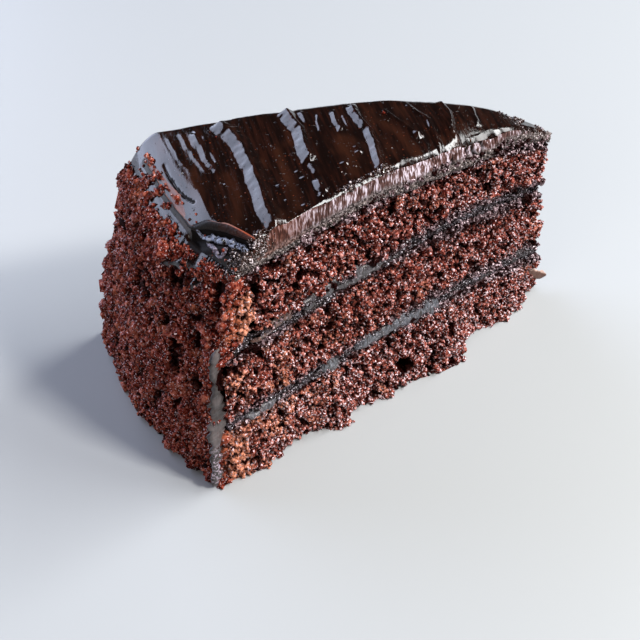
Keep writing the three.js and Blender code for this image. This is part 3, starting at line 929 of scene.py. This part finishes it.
# the crease behind the fold over the wall, painted with shade, then the fold's rim and the groove outside it:
# (width, height, line)
creases = [
    (0.3, -0.6, [(12.5, 20), (12.5, 23.2), (12.9, 27), (13.9, 32), (15.2, 36)]),
    (0.4, 0.35, [(14.6, 44), (13.4, 40), (12.2, 35), (11, 30.4), (10, 24.5), (9.6, 21), (9.1, 16.5)]),
    (0.4, -0.35, [(13.9, 44.2), (12.7, 40), (11.5, 35), (10.3, 30.4), (9.3, 24.5), (8.9, 21), (8.4, 16.5)]),
]
# brown stripes where light shines through: (width, line)
glows = [
    (1.5, [(14.7, 7.2), (17.4, 10.4), (21.4, 16.5), (23, 22)]),
    (1.2, [(28, 2), (31.5, 9), (35.5, 17), (38, 22)]),
    (1.6, [(46, 4), (49, 9), (53, 16)]),
    (1.4, [(64, 2), (66, 9), (66, 16)]),
]
# small waves all over: the size and height of ripples along the ridges, and of broad swells
surface = {"slant": 0.45, "ripple": (1.6, 0.05), "fineRipple": (0.6, 0.015), "swell": (9, 0.2)}
# how the top sags towards its near edge
edgeSlump = {"at": 77, "reach": 16, "everywhere": 0.25, "depth": 2.0, "within": 10, "power": 1.6}
brownPatch = [(9.9, 20.5), (10.7, 23), (11.5, 26), (12.6, 31.5), (14.2, 41)]  # less glossy, along the fold
# the folded lip at the near corner and the groove under it; from and to bound the groove's faces that are
# painted with shade
lip = {
    "line": [(8.8, 16.2), (9.6, 15.4), (10.4, 13.7), (11.2, 11.7), (12.7, 7.7), (13.7, 3.3), (14.1, 1),
             (14.4, -1)],
    "drop": 3.2, "inner": (0, 0.7), "outer": (1.0, 3.8), "from": 0.1, "to": 3.9,
}
# curved gaps beside two flaps on the cut, pushed in and painted with shade, (along, height) down from the
# top, each with a width
gaps = [
    (0.5, [(78.8, 74.2), (80.1, 72.6), (80.3, 70.6), (79.6, 68.6)]),
    (0.45, [(83.4, 71.6), (85.4, 70.8), (86.2, 69.0), (85.2, 66.8)]),
    (0.5, [(82.0, 71.6), (82.3, 69.6), (83.4, 67.4)]),
    (0.35, [(74.8, 70.4), (75.0, 68.6), (76.4, 67.9)]),
]
# the coat's edge over the wall: (outward, down) from the rim
skirt = [(0.6, 0.6), (1.3, 1.4), (1.95, 2.3), (2.5, 3.2), (2.9, 4.2), (2.9, 5.2)]

# a ring's points lie closer near the top's edges, by these millimetres where the coat is wide
edgeSteps = np.array([0, 0.08, 0.2, 0.4, 0.7, 1.0, 1.4])
topCount = coatShape["across"] - 2 + 2 * len(edgeSteps)
levels = np.linspace(0, 1, coatShape["bandSteps"])[1:-1]
notOnTop = 99  # what points off the top are marked with as their distance from the rim


def lineDistance(along, into, line):
    # distance to a chain of points, and the side: positive to the left of its way
    nearest = np.full(along.shape, 1e9)
    side = np.zeros(along.shape)
    for (a0, i0), (a1, i1) in zip(line, line[1:]):
        da, di = a1 - a0, i1 - i0
        share = np.clip(((along - a0) * da + (into - i0) * di) / (da * da + di * di), 0, 1)
        away = np.hypot(along - a0 - share * da, into - i0 - share * di)
        closer = away < nearest
        nearest = np.where(closer, away, nearest)
        side = np.where(closer, np.sign(da * (into - i0) - di * (along - a0)), side)
    return nearest, side


def awayFrom(x, y, line):
    return lineDistance(x, y, line)[0]


def nearLines(x, y, lines):
    # 1 on any of some (width, line), soft at their sides
    return np.minimum(sum(bell(awayFrom(x, y, line), 0, width) for width, line in lines), 1)


def coatPlan(station, share):
    # a place on the top coat: down the slice by station and across it by share, both from 0 to 1
    (a0, i0), (a1, i1) = coatShape["near"]
    near = mix(a0, a1, station), mix(i0, i1, station)
    (a0, i0), (a1, i1) = coatShape["far"]
    by, within = coatShape["farSlide"]
    moved = station + by * (1 - station) * (1 - np.exp(-station / within))
    length = math.hypot(a1 - a0, i1 - i0)
    lean, power = coatShape["farBow"]
    bow = lean * (moved ** power - moved)
    far = mix(a0, a1, moved) + (i1 - i0) / length * bow, mix(i0, i1, moved) - (a1 - a0) / length * bow
    width = np.hypot(far[0] - near[0], far[1] - near[1])
    bulge = coatShape["wallBulge"] * np.clip(1 - station / coatShape["bulgeEnds"], 0, 1)
    bulge = 4 * bulge * share * (1 - share)
    along = mix(near[0], far[0], share) - bulge * (far[1] - near[1]) / width
    into = mix(near[1], far[1], share) + bulge * (far[0] - near[0]) / width
    return along, into, width


rimLine = coatPlan(0.0, np.linspace(0, 1, 200))[:2]


def rimAway(along, into):
    # millimetres in from the rim at the outer wall
    return np.hypot(along[..., None] - rimLine[0], into[..., None] - rimLine[1]).min(-1)


def ridgeHeight(along, into):
    height = np.zeros(along.shape)
    for number, (rise, fall, crest, line) in enumerate(ridges):
        lineAlong, lineInto = np.array(line, float).T
        x = along - np.interp(into, lineInto, lineAlong)
        x = x + 0.3 * waves(into / 2.5, number, 4)
        flank = 1 - (np.hypot(x, 0.25) - 0.25) / np.where(x < 0, rise, fall)
        flank = flank + 0.07 * waves(along / 0.9, into / 1.1, 5)
        start, end = lineInto[0], lineInto[-1]
        ends = smooth(into, start - 1, start + 1) * smooth(-into, -end - 1, -end + 1)
        ends = ends * (0.65 + 0.35 * smooth(into, 0.3, 3))
        height = height + crest * np.clip(flank, 0, 1) * ends
    return height


def beyondLip(along, into):
    # millimetres outside the lip, less than 0 inside it
    away, side = lineDistance(along, into, lip["line"])
    return np.where(side < 0, away, -away)


def slumpShare(along):
    return bell(along, edgeSlump["at"], edgeSlump["reach"], 4)


def bandHang(along):
    # millimetres that the cut ganache hangs down over the top sponge
    return 1.6 * smooth(along, 50, 62) * smooth(-along, -98, -88)


def plainTop(along, into):
    # the top without the groove under the lip
    height = layerHeight(along, into, "top") + ridgeHeight(along, into)
    slanted = along - surface["slant"] * into
    size, rise = surface["ripple"]
    height = height + rise * waves(slanted / size, into / 18, 1)
    size, rise = surface["fineRipple"]
    height = height + rise * waves(slanted / size, into / 14, 2)
    for a, i, radius, rise in drops:
        height = height + rise * bell(np.hypot(along - a, into - i), 0, radius)
    size, rise = surface["swell"]
    height = height + rise * waves(along / size, into / size, 3)
    under = layerHeight(along, into, "under")
    shoulder = coatShape["shoulder"] * (0.62 + 0.38 * smooth(into, 12, 24))
    rounded = 1 - np.clip(1 - rimAway(along, into) / shoulder, 0, 1) ** coatShape["shoulderPower"]
    height = under + (height - under) * rounded
    slump = slumpShare(along) + edgeSlump["everywhere"] * smooth(along, 35, 55)
    nearness = np.clip(1 - into / edgeSlump["within"], 0, 1) ** edgeSlump["power"]
    height = height - edgeSlump["depth"] * slump * nearness
    for width, rise, line in creases:
        height = height + rise * bell(awayFrom(along, into, line), 0, width)
    return height


def topHeight(along, into):
    beyond = beyondLip(along, into)
    full, none = lip["outer"]
    groove = lip["drop"] * smooth(beyond, *lip["inner"]) * smooth(-beyond, -none, -full)
    return plainTop(along, into) - groove


def coatRing(station):
    # a ring over the top, down the far cut, back underneath and up the near cut
    _, _, width = coatPlan(station, 0.5)
    ends = edgeSteps / max(edgeSteps[-1] * 4, width)
    middle = mix(ends[-1], 1 - ends[-1], np.linspace(0, 1, coatShape["across"])[1:-1])
    share = np.concatenate([ends, middle, 1 - ends[::-1]])
    along, into, _ = coatPlan(station, share)
    under = layerHeight(along, into, "under")
    roundness = mix(*coatShape["edgeRound"], smooth(along, 36, 50))
    fromEdge = np.minimum(share, 1 - share) * width
    dip = np.clip(1 - fromEdge / (roundness * min(1, width / 8)), 0, 1)
    sag = (coatShape["edgeSlope"] * roundness - 0.28 * slumpShare(along)) * dip ** 2
    sag = sag + 0.3 * dip * waves(along / 5, into / 30, 6)
    top = np.maximum(topHeight(along, into) - sag, under + 0.02)
    low = under - 0.5 * (1 + waves(along / 2.5, into / 9, 7))
    hang = bandHang(along[0])
    proud = 0.25 * np.sin(math.pi * levels) + 0.5 * hang * (1 - levels)
    bandNear = rowsOf(along[0], into[0] - proud, mix(low[0] - hang, top[0], levels))
    bandFar = rowsOf(along[-1], into[-1], mix(low[-1], top[-1], levels[::-1]))
    baseAlong, baseInto, _ = coatPlan(station, np.linspace(1, 0, coatShape["underSteps"]))
    base = rowsOf(baseAlong, baseInto, layerHeight(baseAlong, baseInto, "under") - 0.5)
    return np.concatenate([rowsOf(along, into, top), bandFar, base, bandNear])


def skirtRing(rim, outward, down):
    # a ring below the rim, where the coat hangs over the wall
    fromCorner = 0.2 + 0.8 * smooth(rim[:, 1], 0, 11)
    uneven = (1 + 0.1 * waves(rim[:, 1] / 3, 0, 8)) * fromCorner
    lower = rim - outwardOf(rim) * (outward * uneven)[:, None]
    lower[:, 2] -= down * fromCorner
    inner = lower[::-1] + [0.5 + 0.2 * outward, 0, -0.5]
    base = inner[np.linspace(0, len(rim) - 1, coatShape["underSteps"]).astype(int)]
    bandFar = [mix(base[0], lower[-1], level) for level in levels[::-1]]
    bandNear = [mix(base[-1], lower[0], level) for level in levels]
    return np.concatenate([lower, bandFar, base, bandNear])


def makeTopCoat(name):
    grid = np.array([coatRing(station) for station in np.linspace(0, 1, coatShape["stations"]) ** 1.5])
    height = grid[:, :topCount, 2]
    height[1:-1] = (height[:-2] + 2 * height[1:-1] + height[2:]) / 4
    grid = np.concatenate([[skirtRing(grid[0, :topCount], *step) for step in skirt[::-1]], grid])
    along, into, height = grid.transpose(2, 0, 1)
    count, ring = along.shape
    away = rimAway(along, into)
    away[:len(skirt)] *= -1
    away[:, topCount:] = notOnTop
    beyond = beyondLip(along, into)
    # faces in the groove under the lip and along the crease behind the fold take the hollow finish, painted
    # shade
    paintedShadeFaces = (beyond > lip["from"]) & (beyond < lip["to"]) & (into < 16) & (away < 9) & (away > -1)
    crease = awayFrom(along, into, creases[0][-1])
    paintedShadeFaces = paintedShadeFaces | ((crease < 0.15 + 0.1 * smooth(-into, -30, -20)) & (away < 9))
    patch = bell(awayFrom(along, into, brownPatch), 0, 0.35 + 0.65 * bell(into, 25.5, 3), 4)
    near = np.arange(ring) >= topCount + len(levels) + coatShape["underSteps"]
    # the gaps are pushed into the cut here and painted with shade by the cut finish
    gap = nearLines(along, height, gaps) * near
    into += 0.9 * gap
    piece = loft(name, grid)
    finish = np.tile((np.arange(ring) >= topCount - 1).astype(int), (count - 1, 1))
    finish[:len(skirt) + 2] = 0
    finish[paintedShadeFaces[:-1]] = 2
    piece.data.polygons.foreach_set("material_index", np.concatenate([finish.ravel(), [0, 1]]))
    level = height - layerHeight(along, into, "under") + near * bandHang(along)
    marks = {
        "rim": away, "level": level, "browned": smooth(-along, -34, -20), "gap": gap, "patch": patch,
        "glow": 0.3 * nearLines(along, into, glows),
    }
    for key, values in marks.items():
        mark(piece, key, values.ravel())
    return piece


# cutLook's light colour paints lilac reflection on the knife's streaks
cutLook = {
    "dark": "2a120c", "middle": "5c403c", "light": "ccc0cc", "brownDark": "34140a", "brownLight": "6c3c28",
    "footDark": "1c100e", "footLight": "9c9090", "footBrownDark": "30120a", "footBrownLight": "906456",
    # gap is painted shade in the gaps beside the flaps
    "gap": "0c0706", "shine": 0.1, "roughness": 0.42, "brownGloss": 0.14,
}


def makeCutFinish(look):
    finish = Finish("ganacheCut", Specular_IOR_Level=look["shine"])
    browned = finish.attribute("browned")
    streak = finish.noise(0.45, 2, (1, 1, 6)) + 0.6 * (finish.noise(2.2, 2, (1, 1, 2)) - 0.5)
    colour = finish.shade(streak, 0.34, 0.5, look["dark"], look["middle"])
    # the lightest streaks are painted reflection
    colour = finish.shade(streak, 0.5, 0.66, colour, look["light"])
    level = finish.attribute("level") + 2.4 * (finish.noise(2, 2) - 0.5)
    brown = browned * finish.rise(level, 1.0, 3.0)
    browns = finish.shade(streak, 0.4, 0.6, look["brownDark"], look["brownLight"])
    colour = finish.blend(brown * 0.8, colour, browns)
    speckled = finish.patches(0.5, 3, 0.4, 0.65)
    grainy = finish.blend(speckled, look["footDark"], look["footLight"])
    brownGrain = finish.blend(speckled, look["footBrownDark"], look["footBrownLight"])
    foot = 1 - finish.rise(level, 1.6, 3.2)
    colour = finish.blend(foot, colour, finish.blend(0.7 * browned, grainy, brownGrain))
    # painted shade in the gaps
    colour = finish.blend(finish.attribute("gap"), colour, look["gap"])
    roughness = look["roughness"] - look["brownGloss"] * brown
    return finish.paint(colour, streak + 0.8 * finish.noise(0.5, 3) * foot, 0.2, Roughness=roughness)


# the hollow finish is painted shade: near black and dull
hollowShadeFinish = Finish("lipHollowShade", Specular_IOR_Level=0.1, Roughness=0.6)
hollowShadeFinish.paint("0e0705", hollowShadeFinish.noise(1, 2), 0.1)
topCoat = makeTopCoat("topCoat")
finished(topCoat, "ganache_top", "ganache", ganacheFinish, makeCutFinish(cutLook), hollowShadeFinish)
print("topCoat", len(topCoat.data.polygons))

# the lip's rolled edge, from the far wall along the fold and round the corner:
# (along, into, half height, half thickness)
lipSpots = [
    (14.6, 44, 0.15, 0.2), (13.4, 40, 0.2, 0.2), (12.2, 35, 0.2, 0.2), (11.0, 30.4, 0.2, 0.2),
    (10.0, 24.5, 0.22, 0.22), (9.6, 21, 0.22, 0.25), (9.0, 16.6, 0.4, 0.3), (9.6, 15.4, 0.8, 0.4),
    (10.4, 13.7, 1.0, 0.5), (11.2, 11.7, 1.0, 0.6), (12.7, 7.7, 1.0, 0.6), (13.7, 3.3, 0.7, 0.6),
    (14.1, 1, 0.5, 0.5), (14.3, -0.2, 0.3, 0.3),
]
lipShape = {"step": 0.25, "above": 0.2, "lean": 0.35, "lumps": (0.1, 2.5)}
lipLook = {"dark": "140d09", "brown": "3a180c", "patch": "0c0604", "rim": "7c5850", "brownRim": "843c24"}
# lumpy beads in the groove under the lip: (along, into, radius); the ledge's light colour is a painted
# highlight on its upper side
ledge = {
    "spots": [(9.5, 15.0, 0.5), (10.1, 12.5, 0.8), (10.6, 10.7, 0.9), (11.6, 7.1, 0.9), (12.5, 3.6, 0.9),
              (13.1, 0.8, 0.6)],
    "lumps": (0.8, 1.1), "seed": 73, "dark": "0c0707", "light": "8890a8", "patches": (0.9, 2, 0.42, 0.52),
    "upward": (0.0, 0.5), "roughness": 0.2,
}
string = {
    "spots": [(9.8, 11.5, 0.3), (9.3, 9.3, 0.45), (8.9, 7.3, 0.55), (8.9, 5.4, 0.6), (9.8, 4.6, 0.5),
              (10.6, 5.2, 0.3)],
    "lumps": (0.7, 0.8), "seed": 75, "dark": "3c3038", "light": "8c8698", "patches": (0.8, 2, 0.45, 0.6),
    "upward": (-3, -2), "roughness": 0.3,
}


def makeLip(name):
    along, into, tall, thick = drawn(lipSpots, lipShape["step"]).T
    centres = rowsOf(along, into, plainTop(along, into) + lipShape["above"] - tall)
    out = outwardOf(centres)
    sides = rowsOf(0, 0, tall) - out * lipShape["lean"] * tall[:, None]
    return ribbon(name, centres, sides, out * thick[:, None], lipShape["lumps"], 71)


def makeLipFinish(look):
    finish = Finish("lip", Roughness=0.45, Specular_IOR_Level=0.2)
    shade = finish.noise(1.2, 2, (1, 1, 2))
    way = finish.attribute("way")
    colour = finish.shade(way, 0.7, 0.95, look["dark"], look["brown"])
    colour = finish.blend(finish.rise(shade, 0.4, 0.7) * 0.6, colour, look["patch"])
    # the rim colours are a painted highlight along the lip's upper edge
    rim = finish.shade(way, 0.82, 0.95, look["rim"], look["brownRim"])
    colour = finish.shade(finish.attribute("side"), 0.9, 0.98, colour, rim)
    return finish.paint(colour, shade + finish.noise(0.5, 2), 0.12)


def makeBead(name, bead):
    along, into, radius = drawn(bead["spots"], 0.15).T
    centres = rowsOf(along, into, topHeight(along, into) + 0.1)
    outs = outwardOf(centres) * radius[:, None]
    return ribbon(name, centres, rowsOf(0, 0, radius), outs, bead["lumps"], bead["seed"])


def makeBeadFinish(name, bead):
    # light patches, only where the bead faces up if its upward range says so; on the ledge they are a painted
    # highlight
    finish = Finish(name, Roughness=bead["roughness"])
    light = finish.rise(finish.attribute("side"), *bead["upward"]) * finish.patches(*bead["patches"])
    return finish.paint(finish.blend(light, bead["dark"], bead["light"]), finish.noise(0.6, 2), 0.2)


finished(makeLip("lip"), None, "ganache", makeLipFinish(lipLook))
for name, bead in [("lipLumps", string), ("lipLedge", ledge)]:
    finished(makeBead(name, bead), None, "ganache", makeBeadFinish(name, bead))

# crumbs and grains on the top coat
topCrumbs = {"count": 1900, "radius": 0.36, "spread": 0.4, "sunk": 0.2, "seed": 31}
edgeCrumbs = {"count": 3500, "radius": 0.26, "spread": 0.35, "sunk": 0.2, "seed": 37}
sparkles = {"count": 1800, "radius": 0.2, "spread": 0.4, "sunk": 0.1, "seed": 39}
edgeLook = {"dark": "1c120e", "light": "766a68", "paintedGlintSpeck": "d0c8cc"}
sparkleLook = {"dark": "2c180f", "light": "ccc0c4"}


def onShoulder(centres, normals):
    # crumbs in patches over the rim, most of them at its far end
    along, into, height = onSlice(centres)
    rim = marksOf(topCoat, "rim")
    uneven = waves(along / 2.2, (into + height) / 2.6, 9) + 0.5 * waves(into / 0.9, height / 0.9, 10)
    far = 1.3 * smooth(into, 16, 34) - 0.3 * smooth(into, 37, 43)
    cover = smooth(uneven + far - 1.0 + 1.3 * smooth(-rim, -0.5, 2.2), 0, 0.8)
    corner = smooth(-into, -11, -8) * smooth(-marksOf(topCoat, "level"), 0.3, 1.0)
    onTop = (rim < 20) * smooth(-rim, -4.2, -3.2) * (cover + corner + 0.02)
    return onTop + (rim < 90) * 0.0002  # and a few loose ones anywhere


def onEdge(centres, normals):
    # crumbs along the foot of the cut ganache, more of them at the corner and the tip
    along, into, height = onSlice(centres)
    reach = 1.2 + 2.0 * smooth(along, 78, 100) + 2.5 * smooth(-along, -16, -10)
    reach = reach * (0.6 + 0.5 * waves(along / 3, height / 9, 15))
    foot = smooth(-marksOf(topCoat, "level"), -reach, -0.4 * reach) * (into < 1.2)
    return (normals[:, 2] < 0.8) * (normals[:, 2] > -0.7) * foot * (marksOf(topCoat, "rim") > 90)


def onSparkle(centres, normals):
    # glossy grains at the corner, in two spots on the near edge and at the tip
    along, into, height = onSlice(centres)
    level = marksOf(topCoat, "level")
    corner = bell(along, 15.5, 2.0) * (level > 2) + bell(along, 12, 2.5) * (level < 4)
    under = 0.6 * smooth(-into, -4.5, -2) * smooth(-along, -12.5, -11) * (level < 4)
    edge = (bell(along, 43, 3) + 1.5 * bell(along, 52.5, 3)) * smooth(level, 5.5, 7.0)
    tip = smooth(along, 98, 106) * smooth(waves(along / 1.6, (into + height) / 1.6, 41), -0.1, 0.5)
    return (into < 1.6) * (normals[:, 0] > -0.9) * (corner + edge) + under + 0.5 * tip * (into < 9)


def makeEdgeFinish(look):
    finish = Finish("edgeCrumbs", Roughness=0.35, Specular_IOR_Level=0.2)
    colour = finish.shade(finish.grain(0.6), 0.4, 0.6, look["dark"], look["light"])
    # with painted glints as light specks
    finish.set(Base_Color=finish.blend(finish.patches(0.45, 1, 0.63, 0.7), colour, look["paintedGlintSpeck"]))
    return finish


def makeSparkleFinish(look):
    finish = Finish("sparkle", Roughness=0.15)
    colour = finish.shade(finish.grain(0.5, 2, 0.25), 0.59, 0.67, look["dark"], look["light"])
    return finish.paint(colour, finish.noise(0.4, 2), 0.15)


shoulderCrumbs = scatter("topCrumbs", topCoat, onShoulder, topCrumbs)
mark(shoulderCrumbs, "cream", farFromCream)
finished(shoulderCrumbs, None, "crumb_coat", wallFinish)
finished(scatter("edgeCrumbs", topCoat, onEdge, edgeCrumbs), None, "ganache", makeEdgeFinish(edgeLook))
finished(scatter("sparkles", topCoat, onSparkle, sparkles), None, "ganache", makeSparkleFinish(sparkleLook))
print("crumbs on the top coat are made")
